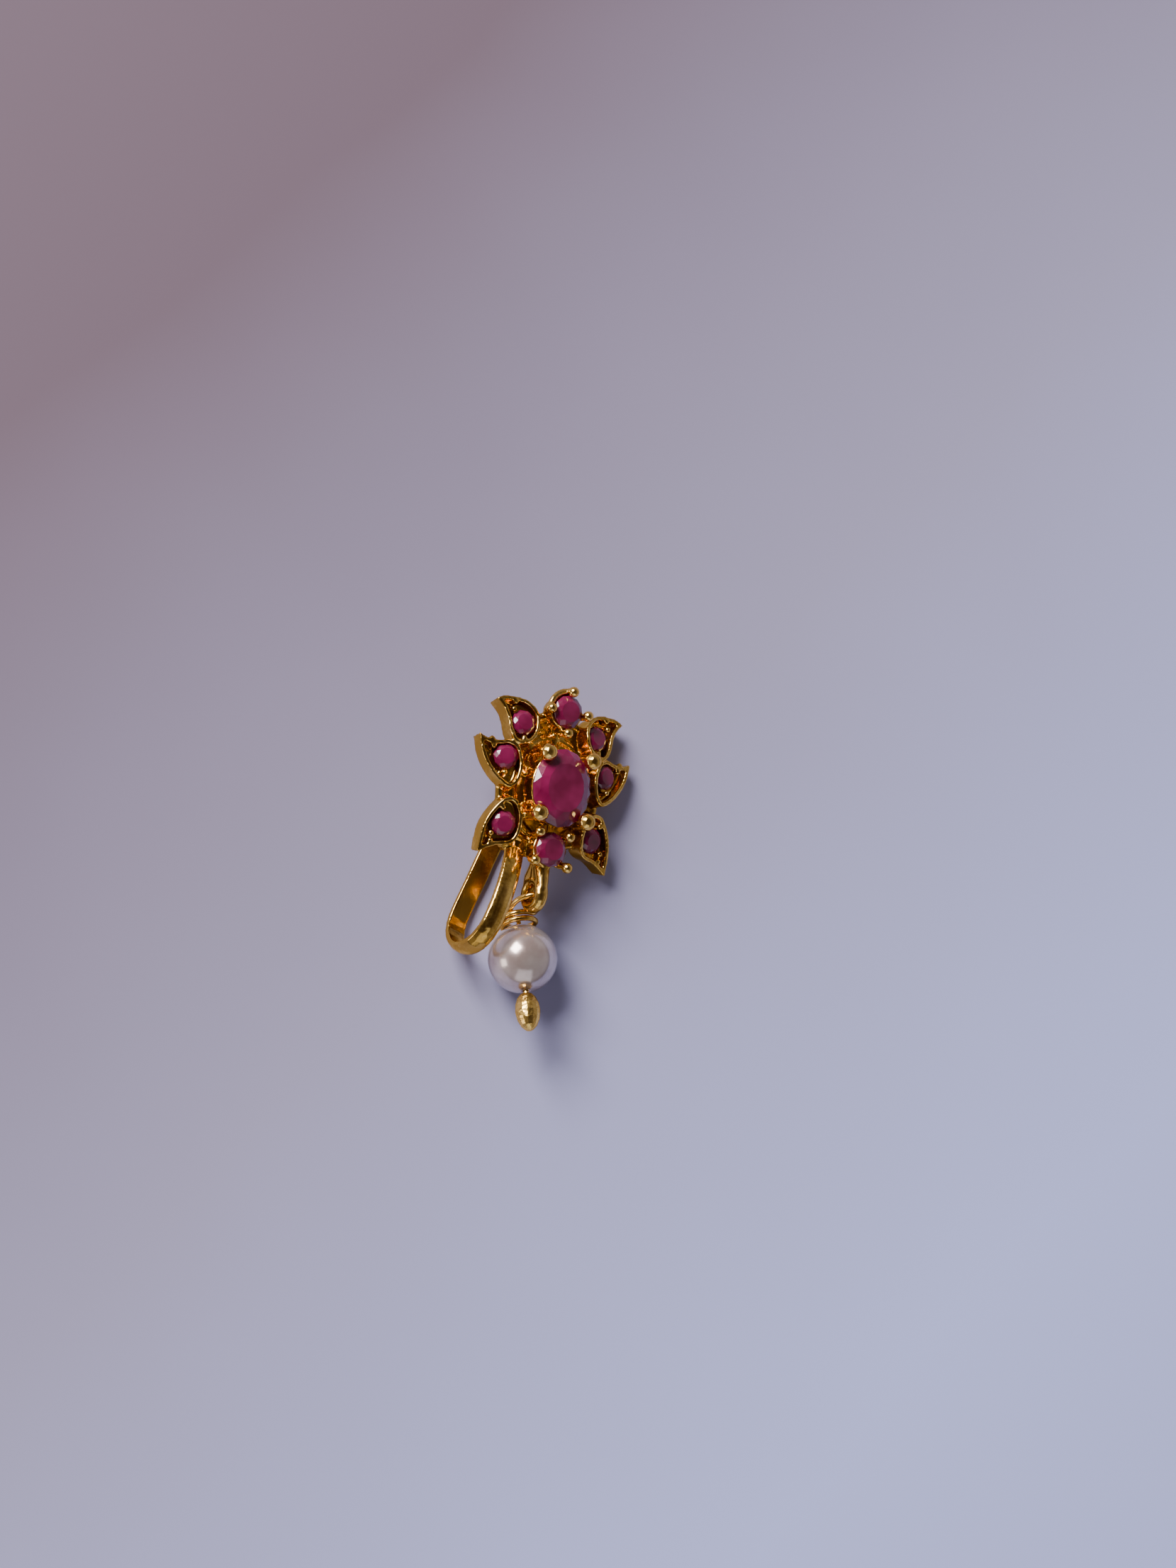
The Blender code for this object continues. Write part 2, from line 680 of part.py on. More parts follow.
def smooth_path(points, steps):
    """An open path through the points (Catmull-Rom)."""
    points = np.asarray(points, float)
    padded = np.vstack([2 * points[0] - points[1], points, 2 * points[-1] - points[-2]])
    made = []
    for before, here, after, beyond in zip(padded, padded[1:], padded[2:], padded[3:]):
        for t in np.arange(steps) / steps:
            made.append(0.5 * (
                2 * here + (after - before) * t
                + (2 * before - 5 * here + 4 * after - beyond) * t * t
                + (3 * here - before - 3 * after + beyond) * t**3
            ))
    made.append(points[-1])
    return np.array(made)


def drop_frames(hook):
    """The pin's and the loop's frames, for a pearl on the floor and a loop through the hook."""
    heading = np.array([math.cos(PIN_HEADING), math.sin(PIN_HEADING), 0.0])
    away = np.array([math.cos(LOOP_HEADING), math.sin(LOOP_HEADING), 0.0])
    back = -(heading * math.cos(PIN_TILT) + UP * math.sin(PIN_TILT))
    across = np.array([-heading[1], heading[0], 0.0])
    neck_height = PEARL_DIA / 2 + NECK_LENGTH
    neck_level = PEARL_DIA / 2 + back[2] * neck_height
    rise = hook[2] - neck_level
    reach = math.sqrt(LOOP_LENGTH**2 - rise**2)
    neck = np.array([hook[0], hook[1], 0.0]) + away * reach + UP * neck_level
    pearl = neck - back * neck_height
    along_loop = (hook - neck) / LOOP_LENGTH
    return pearl, across, back, neck, along_loop


def wire_path(hook):
    """One wire: up through the pearl, round the loop, then round and round down to the pearl."""
    pearl, across, back, neck, along_loop = drop_frames(hook)
    out = np.cross(across, back)
    foot = -(PEARL_DIA / 2 + END_BEAD_LENGTH * 0.55)
    half = LOOP_WIDTH / 2
    inside = WRAP_DIA / 2 - WIRE_DIA - WRAP_GAP
    pin = [pearl + back * h for h in np.linspace(foot, PEARL_DIA / 2 + NECK_LENGTH * 0.62, 8)]
    loop = [
        neck - across * inside * 0.55 - back * WIRE_DIA * 0.25,
        neck - across * inside + along_loop * LOOP_LENGTH * 0.14,
        neck - across * half + along_loop * LOOP_LENGTH * 0.48,
        neck - across * half * 0.8 + along_loop * LOOP_LENGTH * 0.82,
        neck + along_loop * LOOP_LENGTH,
        neck + across * half * 0.8 + along_loop * LOOP_LENGTH * 0.82,
        neck + across * half + along_loop * LOOP_LENGTH * 0.48,
        neck + across * (inside + WIRE_DIA * 0.4) + along_loop * LOOP_LENGTH * 0.17,
    ]
    pitch = WIRE_DIA + WRAP_GAP
    low = math.sqrt((PEARL_DIA / 2 + WIRE_DIA / 2 + BORE_GAP) ** 2 - (WRAP_DIA / 2) ** 2)
    turns = np.linspace(0.1, WRAP_TURNS, int(WRAP_TURNS * 12))
    wraps = [
        pearl
        + (across * math.cos(2 * math.pi * t) + out * math.sin(2 * math.pi * t)) * WRAP_DIA / 2
        + back * (low + pitch * (WRAP_TURNS - t))
        for t in turns
    ]
    return np.vstack([smooth_path(pin[:-1], 1), smooth_path([pin[-1], *loop], 4), wraps])


def drilled_pearl():
    radius, bore = PEARL_DIA / 2, WIRE_DIA / 2 + BORE_GAP
    edge = math.asin(bore / radius)
    angles = np.linspace(edge, math.pi - edge, 12)
    return turned_ring([(radius * math.sin(a), -radius * math.cos(a)) for a in angles], 16)


def end_bead():
    """A long bead with a blunt point, with a blind hole for the wire from its other end."""
    radius, half, bore = END_BEAD_DIA / 2, END_BEAD_LENGTH / 2, WIRE_DIA / 2 + BORE_GAP
    shares = [
        (0.0, -1.0), (0.3, -0.94), (0.62, -0.74), (0.88, -0.4),
        (1.0, 0.0), (0.94, 0.36), (0.74, 0.7), (0.5, 0.88),
    ]
    outside = [(radius * r, half * h) for r, h in shares]
    return turned([*outside, (bore, half * 0.94), (bore, -half * 0.3), (0, -half * 0.3)], 14)


def placed(shape, place, across, back):
    """A turned shape with its axis along the pin."""
    turn = np.array([across, np.cross(back, across), back])
    return shape[0] @ turn + place, shape[1]


def main():
    clear_scene()
    gold = material("gold_plate", (0.83, 0.56, 0.2), 0.2, 1.0)
    ruby = material("ruby_stone", (0.3, 0.02, 0.1), 0.15, 0.0)
    pearl_white = material("pearl", (0.85, 0.8, 0.82), 0.2, 0.0)
    blocks, cuts, added = setting_shapes()
    metal = blocks + added
    turn = resting_turn(metal)
    metal_points = np.vstack([shape[0] for shape in metal]) @ turn.T
    lift = -metal_points[:, 2].min()
    hook = turn @ bail_centre() + UP * lift
    pearl_place, across, back, _, _ = drop_frames(hook)
    wire = wire_path(hook)
    bead_place = pearl_place - back * (PEARL_DIA / 2 + END_BEAD_LENGTH / 2 + BORE_GAP)
    pearl = placed(drilled_pearl(), pearl_place, across, back)
    bead = placed(end_bead(), bead_place, across, back)
    wire_shape = tube(wire, WIRE_DIA / 2, 6)
    everything = np.vstack([metal_points, pearl[0], bead[0], wire_shape[0]])
    middle = (everything.min(0) + everything.max(0)) / 2
    shift = Vector((-middle[0], -middle[1], 0.0))

    rest = bpy.data.objects.new("rest", None)
    bpy.context.scene.collection.objects.link(rest)
    rest.matrix_world = Matrix.Translation(shift + Vector((0, 0, lift))) @ Matrix(turn.tolist()).to_4x4()
    cast("setting", blocks, cuts, added, gold, rest)
    for stone in large_stones():
        shape = cut_stone(*(stone["half"] * 2), stone["crown"], stone["pavilion"], stone["facets"])
        add_object(stone["name"], moved(shape, Matrix.Translation(stone["centre"])), ruby, rest)
    for row in PETALS:
        small = cut_stone(PETAL_STONE_DIA, PETAL_STONE_DIA, PETAL_STONE_DIA * 0.16, petal_pavilion(), 12)
        small = moved(small, petal_matrix(row))
        add_object(f"petal_stone_{row['name']}_left", small, ruby, rest)
        add_object(f"petal_stone_{row['name']}_right", mirrored(small), ruby, rest)

    lying = bpy.data.objects.new("drop", None)
    bpy.context.scene.collection.objects.link(lying)
    lying.location = shift
    add_object("pearl", pearl, pearl_white, lying, math.radians(40))
    add_object("end_bead", bead, gold, lying, math.radians(40))
    add_object("drop_wire", wire_shape, gold, lying, math.radians(50))


main()
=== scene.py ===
"""The looks of a press-on nath: a gold-plated flower with ruby stones and a pearl drop."""

import math

import bmesh
import bpy
import numpy as np
from bpy.props import FloatProperty, FloatVectorProperty, PointerProperty
from mathutils import Matrix, Vector


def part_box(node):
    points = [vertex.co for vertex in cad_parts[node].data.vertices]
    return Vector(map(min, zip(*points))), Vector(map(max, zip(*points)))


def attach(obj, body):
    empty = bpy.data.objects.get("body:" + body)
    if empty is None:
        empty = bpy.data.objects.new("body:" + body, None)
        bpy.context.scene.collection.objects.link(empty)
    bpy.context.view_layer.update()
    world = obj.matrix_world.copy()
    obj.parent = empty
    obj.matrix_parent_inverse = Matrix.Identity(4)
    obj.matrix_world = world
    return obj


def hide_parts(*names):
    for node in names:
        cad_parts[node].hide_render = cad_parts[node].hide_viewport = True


bl_info = {
    "name": "Nath nose ring",
    "version": (1, 0, 0),
    "blender": (4, 5, 0),
    "location": "View3D > Sidebar > Nath",
    "description": "Dresses a packed press-on nath in cast gold, cut ruby and pearl",
    "category": "Object",
}

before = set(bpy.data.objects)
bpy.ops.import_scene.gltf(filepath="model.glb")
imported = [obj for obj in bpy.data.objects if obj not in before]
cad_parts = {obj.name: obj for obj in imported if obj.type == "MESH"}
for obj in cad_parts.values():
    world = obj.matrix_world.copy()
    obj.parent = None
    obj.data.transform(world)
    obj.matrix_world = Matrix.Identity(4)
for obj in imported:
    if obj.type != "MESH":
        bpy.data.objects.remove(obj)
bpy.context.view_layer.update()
MILLIMETRE = 0.001

# Each large stone's facets round its girdle, and its crown's share of its depth
LARGE_STONES = {
    "center_stone": (16, 0.283),
    "top_stone": (12, 0.27),
    "bottom_stone": (12, 0.27),
}

# The same of every petal stone
PETAL_CUT = (10, 0.27)
PETAL_STONES = [
    f"petal_stone_{level}_{side}"
    for level in ("upper", "middle", "lower")
    for side in ("left", "right")
]

# Only edges sharper than this, in degrees, are polished between a stone's facets
FACET_ANGLE = 9

# The pearl's skin: its rings from bore to bore, its steps round, and the radius of its bore
PEARL_RINGS = 96
PEARL_SIDES = 128
PEARL_BORE = 0.00028

# How far the two rings of the bore's wall lie from the pearl's middle, as a share of its radius
BORE_REACH = 0.3

# How far the petal rims lie below the middle of the centre stone, in millimetres; gold lower than them
# gets painted shade
RIM_BELOW_STONE = 0.5

# Depth of the finishes' relief at full strength
RELIEF_DEPTH = 0.0001

# Points of a CAD node closer than this, in millimetres, are one point
MERGE_DISTANCE = 0.0005

# How far a point of a cast skin moves in and out again in each round, and in the last polish
RELAX_FACTORS = (0.6, -0.62)
POLISH_FACTOR = 0.5

# Triangles of the wire's bar that lie flatter than this, in radians, are one four-sided face
WIRE_ANGLE = 0.8

# The flower's right, up and face directions as the photograph's camera sees them
SEEN_RIGHT = np.array([0.83, -0.178, -0.528])
SEEN_UP = np.array([0.122, 0.983, -0.14])
SEEN_FACE = np.array([0.544, 0.052, 0.838])

# The view: its width and height in pixels, where the centre stone is in it, and its scale
PHOTO_SIZE = (1659, 2212)
CENTRE_STONE_PIXEL = (793, 1112)
PIXELS_PER_METRE = 20800.0
SENSOR = 36.0
FOCAL_LENGTH = 70.0
CLIP_DISTANCES = (0.01, 5.0)

# The floor: half its side, and the length in millimetres over which its painted light runs across the
# view
FLOOR_HALF = 0.6
PAINTED_LIGHT_LENGTH = 118.0

# The lamps: name, place, size, power and colour
LAMPS = [
    ("window", (-0.34, 0.34, 0.4), 0.3, 8.6, (1.0, 0.97, 0.94)),
    ("fill", (0.02, -0.42, 0.24), 0.4, 0.45, (0.88, 0.92, 1.0)),
    ("rim", (-0.26, -0.08, 0.06), 0.1, 0.12, (1.0, 0.93, 0.85)),
]
LAMP_TARGET = (0.0, 0.0, 0.003)

# The room's light: its colours from below the horizon to the top of the sky, and its strength
ROOM_COLOURS = [
    (0.0, (0.1, 0.08, 0.08)),
    (0.25, (0.55, 0.52, 0.55)),
    (0.62, (0.24, 0.205, 0.21)),
    (0.88, (0.07, 0.05, 0.045)),
]
ROOM_STRENGTH = 0.7


def points_of(name):
    """A CAD node's points, one in each row."""
    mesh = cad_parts[name].data
    points = np.empty(len(mesh.vertices) * 3)
    mesh.vertices.foreach_get("co", points)
    return points.reshape(-1, 3)


def middle_of(name):
    """The mean of a CAD node's points."""
    return points_of(name).mean(0)


def unit(vector):
    return vector / np.linalg.norm(vector)


def flower_axes():
    """The flower's right, up and face directions, from the places of its stones."""
    right = unit(middle_of("petal_stone_middle_right") - middle_of("petal_stone_middle_left"))
    up = middle_of("top_stone") - middle_of("bottom_stone")
    up = unit(up - right * (up @ right))
    return right, up, np.cross(right, up)


FLOWER_RIGHT, FLOWER_UP, FLOWER_FACE = flower_axes()


def camera_axes():
    """The right, up and back directions of a camera that sees the flower as the photograph's did."""
    axes = np.array([FLOWER_RIGHT, FLOWER_UP, FLOWER_FACE])
    seen = np.array([SEEN_RIGHT, SEEN_UP, SEEN_FACE])
    right, up, back = (unit(way) for way in seen.T @ axes)
    up = unit(up - back * (up @ back))
    return np.cross(up, back), up, back


class Sum:
    """A shader socket that can be used in Python expressions; each operator adds a Math node."""

    def __init__(self, tree, socket):
        self.tree, self.socket = tree, socket

    def math(self, operation, other):
        node = self.tree.nodes.new("ShaderNodeMath")
        node.operation = operation
        for slot, value in zip(node.inputs, (self, other)):
            if isinstance(value, Sum):
                self.tree.links.new(value.socket, slot)
            else:
                slot.default_value = value
        return Sum(self.tree, node.outputs[0])

    def __add__(self, other):
        return self.math("ADD", other)

    def __sub__(self, other):
        return self.math("SUBTRACT", other)

    def __mul__(self, other):
        return self.math("MULTIPLY", other)

    def clamp(self):
        node = self.tree.nodes.new("ShaderNodeClamp")
        self.tree.links.new(self.socket, node.inputs[0])
        return Sum(self.tree, node.outputs[0])


def set_stops(ramp, rows):
    """Sets a colour ramp's stops, one for each row of a position and a colour."""
    while len(ramp.elements) < len(rows):
        ramp.elements.new(0.5)
    for element, (position, colour) in zip(ramp.elements, rows):
        element.position = position
        element.color = (*colour, 1.0)


class Finish:
    """A Principled material, with a method that adds any node to it and others for common ones."""

    def __init__(self, name, **settings):
        self.made = bpy.data.materials.new(name)
        self.made.use_nodes = True
        self.tree = self.made.node_tree
        self.shader = self.tree.nodes["Principled BSDF"]
        for socket, value in settings.items():
            self.shader.inputs[socket.replace("_", " ")].default_value = value

    def node(self, kind, output=0, **inputs):
        """Adds a node, fills its inputs by their names and gives one of its outputs."""
        made = self.tree.nodes.new(kind)
        for name, value in inputs.items():
            self.put(value, made.inputs[name])
        return Sum(self.tree, made.outputs[output])

    def put(self, value, socket):
        if isinstance(value, Sum):
            self.tree.links.new(value.socket, socket)
        else:
            socket.default_value = value

    def place(self):
        """Object coordinates, in millimetres."""
        coordinates = self.node("ShaderNodeTexCoord", output="Object")
        return self.node("ShaderNodeMapping", Vector=coordinates, Scale=(1 / MILLIMETRE,) * 3)

    def along(self, place, way):
        """How far a place lies along a way: the two vectors' dot product."""
        made = self.tree.nodes.new("ShaderNodeVectorMath")
        made.operation = "DOT_PRODUCT"
        self.put(place, made.inputs[0])
        self.put(tuple(way), made.inputs[1])
        return Sum(self.tree, made.outputs["Value"])

    def noise(self, place, scale, detail=3.0):
        return self.node("ShaderNodeTexNoise", Vector=place, Scale=scale, Detail=detail, Roughness=0.55)

    def colour(self, value, rows):
        """Base Color from a value, by a colour ramp's rows."""
        made = self.tree.nodes.new("ShaderNodeValToRGB")
        set_stops(made.color_ramp, rows)
        self.put(value, made.inputs["Fac"])
        self.tree.links.new(made.outputs["Color"], self.shader.inputs["Base Color"])

    def roughness(self, value):
        self.put(value.clamp(), self.shader.inputs["Roughness"])

    def bump(self, height, strength):
        bump = self.node("ShaderNodeBump", Height=height, Strength=strength, Distance=RELIEF_DEPTH)
        self.put(bump, self.shader.inputs["Normal"])


def gold_finish(name, colour, deep, roughness, relief, shade_share=0.0):
    """Worn gold plate, with the ripple of a casting.

    It is redder and duller in random patches. Painted shade makes it redder and darker where it
    lies lower than the petal rims. The shade share is how much that painted shade counts.
    """
    finish = Finish(name, Metallic=1.0, Specular_Tint=(1.0, 0.84, 0.5, 1.0))
    place = finish.place()
    patches = finish.noise(place, scale=0.7)
    grain = finish.noise(place, scale=5.0, detail=4.0)
    mix = patches * 0.65 + grain * 0.35
    # Painted shade: below the petal rims the colour is drawn towards the deep gold
    if shade_share:
        rim = float(middle_of("center_stone") @ FLOWER_FACE) / MILLIMETRE - RIM_BELOW_STONE
        height = finish.along(place, FLOWER_FACE) + (1.0 - rim)
        mix = mix + (height.clamp() - 1.0) * shade_share
    finish.colour(mix.clamp(), [(0.36, deep), (0.58, colour)])
    finish.roughness(grain * 0.16 + roughness - 0.05)
    broad = finish.noise(place, scale=1.7, detail=2.0)
    fine = finish.noise(place, scale=9.0, detail=2.0)
    finish.bump(broad * 0.88 + fine * 0.12, relief)
    return finish.made


def ruby_finish(name, colour, bright, roughness):
    """Opaque ruby: a dark wine body with paler, pinker clouds and a clear polish."""
    finish = Finish(name, IOR=1.6, Coat_Weight=0.25, Coat_Roughness=0.06)
    place = finish.place()
    finish.colour(finish.noise(place, scale=0.55, detail=2.0), [(0.36, colour), (0.66, bright)])
    finish.roughness(finish.noise(place, scale=3.0) * 0.1 + roughness)
    return finish.made


def pearl_finish(name, colour, rosy):
    """Pearl: silvery white with rosy clouds, under a clear polish."""
    finish = Finish(
        name,
        IOR=1.55,
        Specular_IOR_Level=0.8,
        Coat_Weight=0.9,
        Coat_Roughness=0.05,
        Metallic=0.65,
    )
    place = finish.place()
    finish.colour(finish.noise(place, scale=0.45), [(0.36, rosy), (0.62, colour)])
    finish.roughness(finish.noise(place, scale=2.5) * 0.12 + 0.16)
    finish.bump(finish.noise(place, scale=0.8, detail=2.0), strength=0.12)
    return finish.made


def add_mesh(name, points, faces, finish, smooth=True):
    mesh = bpy.data.meshes.new(name)
    mesh.from_pydata(points.tolist(), [], [list(map(int, face)) for face in faces])
    return add_piece(name, mesh, finish, smooth)


def add_piece(name, mesh, finish, smooth=True):
    mesh.materials.clear()
    mesh.materials.append(finish)
    working = bmesh.new()
    working.from_mesh(mesh)
    bmesh.ops.recalc_face_normals(working, faces=working.faces)
    working.to_mesh(mesh)
    working.free()
    if smooth:
        mesh.shade_smooth()
    else:
        mesh.shade_flat()
    piece = bpy.data.objects.new(name, mesh)
    bpy.context.scene.collection.objects.link(piece)
    return piece


def dress(piece, node):
    """The piece stands for its CAD node, and moves with it."""
    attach(piece, "root")
    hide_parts(node)


def cast_copy(node, voxel, rounds, finish):
    """A CAD node softened as a casting is: its skin remade in small even steps, then relaxed.

    It is worked in millimetres. In every round each point moves part of the way to the middle of
    its neighbours and then slightly further out again, so that balls and thin walls keep their size.
    """
    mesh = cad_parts[node].data.copy()
    mesh.transform(Matrix.Scale(1 / MILLIMETRE, 4))
    working = bmesh.new()
    working.from_mesh(mesh)
    bmesh.ops.remove_doubles(working, verts=working.verts, dist=MERGE_DISTANCE)
    working.to_mesh(mesh)
    working.free()
    piece = bpy.data.objects.new(f"{node}_cast", mesh)
    bpy.context.scene.collection.objects.link(piece)
    remesh = piece.modifiers.new("skin", "REMESH")
    remesh.mode = "VOXEL"
    remesh.voxel_size = voxel
    remesh.use_smooth_shade = True
    for number in range(rounds):
        for factor in RELAX_FACTORS:
            relax = piece.modifiers.new(f"relax {number + 1}", "SMOOTH")
            relax.factor = factor
            relax.iterations = 1
    last = piece.modifiers.new("polish", "SMOOTH")
    last.factor = POLISH_FACTOR
    last.iterations = 1
    made = bpy.data.meshes.new_from_object(piece.evaluated_get(bpy.context.evaluated_depsgraph_get()))
    bpy.data.objects.remove(piece)
    made.transform(Matrix.Scale(MILLIMETRE, 4))
    return add_piece(f"{node}_cast", made, finish)


def round_wire(node, swell, finish):
    """A CAD wire made round: its six-sided bar swollen a little, and its skin subdivided."""
    working = bmesh.new()
    working.from_mesh(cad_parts[node].data)
    bmesh.ops.scale(working, vec=(1 / MILLIMETRE,) * 3, verts=working.verts)
    bmesh.ops.remove_doubles(working, verts=working.verts, dist=MERGE_DISTANCE)
    bmesh.ops.join_triangles(
        working, faces=working.faces, angle_face_threshold=WIRE_ANGLE, angle_shape_threshold=WIRE_ANGLE,
    )
    working.normal_update()
    for point in working.verts:
        point.co += point.normal * swell
    bmesh.ops.scale(working, vec=(MILLIMETRE,) * 3, verts=working.verts)
    mesh = bpy.data.meshes.new(node)
    working.to_mesh(mesh)
    working.free()
    piece = add_piece(f"{node}_round", mesh, finish)
    skin = piece.modifiers.new("round", "SUBSURF")
    skin.levels = skin.render_levels = 2
    return piece


def own_frame(name, across, up, out):
    """A CAD node's extent in its own directions: its middle, and its size each way."""
    turned = points_of(name) @ np.array([across, up, out]).T
    low, high = turned.min(0), turned.max(0)
    return (low + high) / 2, high - low


def stone_directions(name):
    """A stone's directions across, up and out: out is the way its largest flat face looks."""
    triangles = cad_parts[name].data.loop_triangles
    corners = np.empty(len(triangles) * 3, dtype=int)
    triangles.foreach_get("vertices", corners)
    a, b, c = points_of(name)[corners].reshape(-1, 3, 3).transpose(1, 0, 2)
    normal = np.cross(b - a, c - a)
    area = np.linalg.norm(normal, axis=1)
    ways = normal / area[:, None]
    coplanar = ways @ ways.T > 0.9999
    out = ways[np.argmax(coplanar @ area)]
    if out @ FLOWER_FACE < 0:
        out = -out
    across = unit(FLOWER_RIGHT - out * (out @ FLOWER_RIGHT))
    return across, np.cross(out, across), out


def gem(width, length, crown, pavilion, sides, table):
    """A cut stone with its girdle at z = 0: rings of facets from the point to the table.

    Each ring is an ellipse with one corner for each side. A row gives its share of the girdle's
    size, its height and its turn in steps. Where the turn changes, the triangles between two
    rings are the kite, star and girdle facets.
    """
    half = np.array([width, length]) / 2
    rows = [
        (0.55, -pavilion * 0.52, 0.5),
        (1.0, -crown * 0.07, 0.0),
        (1.0, crown * 0.07, 0.0),
        (0.84, crown * 0.55, 0.5),
        (table, crown * 0.96, 0.0),
    ]
    points = [np.array([[0.0, 0.0, -pavilion]])]
    for share, height, phase in rows:
        turn = 2 * math.pi * (np.arange(sides) + phase) / sides
        points.append(np.column_stack([
            half[0] * share * np.cos(turn),
            half[1] * share * np.sin(turn),
            np.full(sides, height),
        ]))
    step = np.arange(sides)
    after = (step + 1) % sides
    faces = [(0, 1 + m, 1 + k) for k, m in zip(step, after)]
    for row in range(len(rows) - 1):
        low, high = 1 + row * sides, 1 + (row + 1) * sides
        shift = rows[row + 1][2] - rows[row][2]
        for k, m in zip(step, after):
            if shift == 0:
                faces.append((low + k, low + m, high + m, high + k))
            elif shift > 0:
                faces += [(low + k, low + m, high + k), (low + m, high + m, high + k)]
            else:
                faces += [(low + k, high + m, high + k), (low + k, low + m, high + m)]
    faces.append(tuple(1 + (len(rows) - 1) * sides + step))
    return np.vstack(points), faces


def dressed_stone(name, cut, table, finish, bevel):
    """A stone cut finer than its CAD node, in the node's place and size."""
    sides, crown_share = cut
    across, up, out = stone_directions(name)
    middle, size = own_frame(name, across, up, out)
    crown = size[2] * crown_share
    shape, faces = gem(size[0], size[1], crown, size[2] - crown, sides, table)
    shape[:, 2] += middle[2] + size[2] / 2 - crown
    shape[:, :2] += middle[:2]
    piece = add_mesh(f"{name}_cut", shape @ np.array([across, up, out]), faces, finish, smooth=False)
    edge = piece.modifiers.new("polished edges", "BEVEL")
    edge.width = bevel
    edge.segments = 2
    edge.limit_method = "ANGLE"
    edge.angle_limit = math.radians(FACET_ANGLE)
    dress(piece, name)


def pin_axis():
    """Where the pearl is, and the way from it towards the bail."""
    pearl = middle_of("pearl")
    return pearl, unit(pearl - middle_of("end_bead"))


def turned_grid(radius, height, sides):
    """A profile turned round z: the grid of (radius, height) by angle, closed round."""
    turn = 2 * math.pi * np.arange(sides) / sides
    points = np.stack([
        np.outer(radius, np.cos(turn)),
        np.outer(radius, np.sin(turn)),
        np.outer(height, np.ones(sides)),
    ], 2).reshape(-1, 3)
    rows, columns = np.meshgrid(np.arange(len(radius) - 1), np.arange(sides), indexing="ij")
    here = rows * sides + columns
    beside = rows * sides + (columns + 1) % sides
    faces = np.stack([here, beside, beside + sides, here + sides], 2).reshape(-1, 4)
    return points, faces.tolist()


def on_pin(points, centre, axis):
    """Points of a turned piece with its axis laid along the pin."""
    across = unit(np.cross(axis, [0.0, 0.0, 1.0]))
    return points @ np.array([across, np.cross(axis, across), axis]) + centre


class NathSizes(bpy.types.PropertyGroup):
    """The sizes and colours of the finishes."""

    cast_step: FloatProperty(
        name="Casting step", description="Length of the steps of the setting's skin, in millimetres",
        default=0.088, min=0.05, max=0.3,
    )
    bead_step: FloatProperty(
        name="Bead step", description="Length of the steps of the end bead's skin, in millimetres",
        default=0.05, min=0.02, max=0.2,
    )
    wire_swell: FloatProperty(
        name="Wire swell",
        description="How far the six-sided wire is swollen to make it round, in millimetres",
        default=0.034, min=0.0, max=0.1,
    )
    facet_edge: FloatProperty(
        name="Facet edge", description="Width of the polished edges between facets",
        default=0.00002, unit="LENGTH",
    )
    table_share: FloatProperty(
        name="Table", description="The table's width as a share of its stone's",
        default=0.62, min=0.3, max=0.9,
    )
    gold: FloatVectorProperty(
        name="Gold", description="Colour of the bright gold plate",
        default=(0.92, 0.61, 0.17), subtype="COLOR",
    )
    # The deep gold colours random patches and, in the setting, the painted shade below the petal rims
    gold_deep_and_shade: FloatVectorProperty(
        name="Deep gold", description="Colour of the redder gold in the hollows",
        default=(0.56, 0.32, 0.06), subtype="COLOR",
    )
    ruby: FloatVectorProperty(
        name="Ruby", description="Body colour of the stones",
        default=(0.115, 0.002, 0.03), subtype="COLOR",
    )
    ruby_bright: FloatVectorProperty(
        name="Bright ruby", description="Colour of the stones' paler clouds",
        default=(0.19, 0.009, 0.06), subtype="COLOR",
    )
    pearl: FloatVectorProperty(
        name="Pearl", description="Silvery colour of the pearl",
        default=(0.585, 0.5, 0.485), subtype="COLOR",
    )
    pearl_rosy: FloatVectorProperty(
        name="Rosy pearl", description="Colour of the pearl's rosy clouds",
        default=(0.43, 0.325, 0.305), subtype="COLOR",
    )
    floor: FloatVectorProperty(
        name="Floor", description="Colour of the floor at the jewel",
        default=(0.29, 0.27, 0.42), subtype="COLOR",
    )
    # Painted shade on the floor towards the view's upper left
    floor_painted_shade: FloatVectorProperty(
        name="Dark floor", description="Colour of the floor towards the view's upper left",
        default=(0.13, 0.088, 0.124), subtype="COLOR",
    )
    # Painted light on the floor towards the view's lower right
    floor_painted_light: FloatVectorProperty(
        name="Light floor", description="Colour of the floor towards the view's lower right",
        default=(0.43, 0.47, 0.86), subtype="COLOR",
    )


class NATH_OT_setting(bpy.types.Operator):
    """Dress the cast setting with its cups, prongs, bail and clip"""

    bl_idname = "nath.setting"
    bl_label = "Cast setting"

    def execute(self, context):
        sizes = context.scene.nath
        # The setting's gold gets painted shade in its low places, by the shade share
        finish = gold_finish(
            "cast_gold", tuple(sizes.gold), tuple(sizes.gold_deep_and_shade),
            roughness=0.16, relief=0.15, shade_share=0.16,
        )
        piece = cast_copy("setting", sizes.cast_step, rounds=5, finish=finish)
        dress(piece, "setting")
        return {"FINISHED"}


class NATH_OT_stones(bpy.types.Operator):
    """Cut the nine ruby stones"""

    bl_idname = "nath.stones"
    bl_label = "Ruby stones"

    def execute(self, context):
        sizes = context.scene.nath
        finish = ruby_finish("ruby", tuple(sizes.ruby), tuple(sizes.ruby_bright), roughness=0.12)
        cuts = LARGE_STONES | dict.fromkeys(PETAL_STONES, PETAL_CUT)
        for name, cut in cuts.items():
            dressed_stone(name, cut, sizes.table_share, finish, sizes.facet_edge)
        return {"FINISHED"}


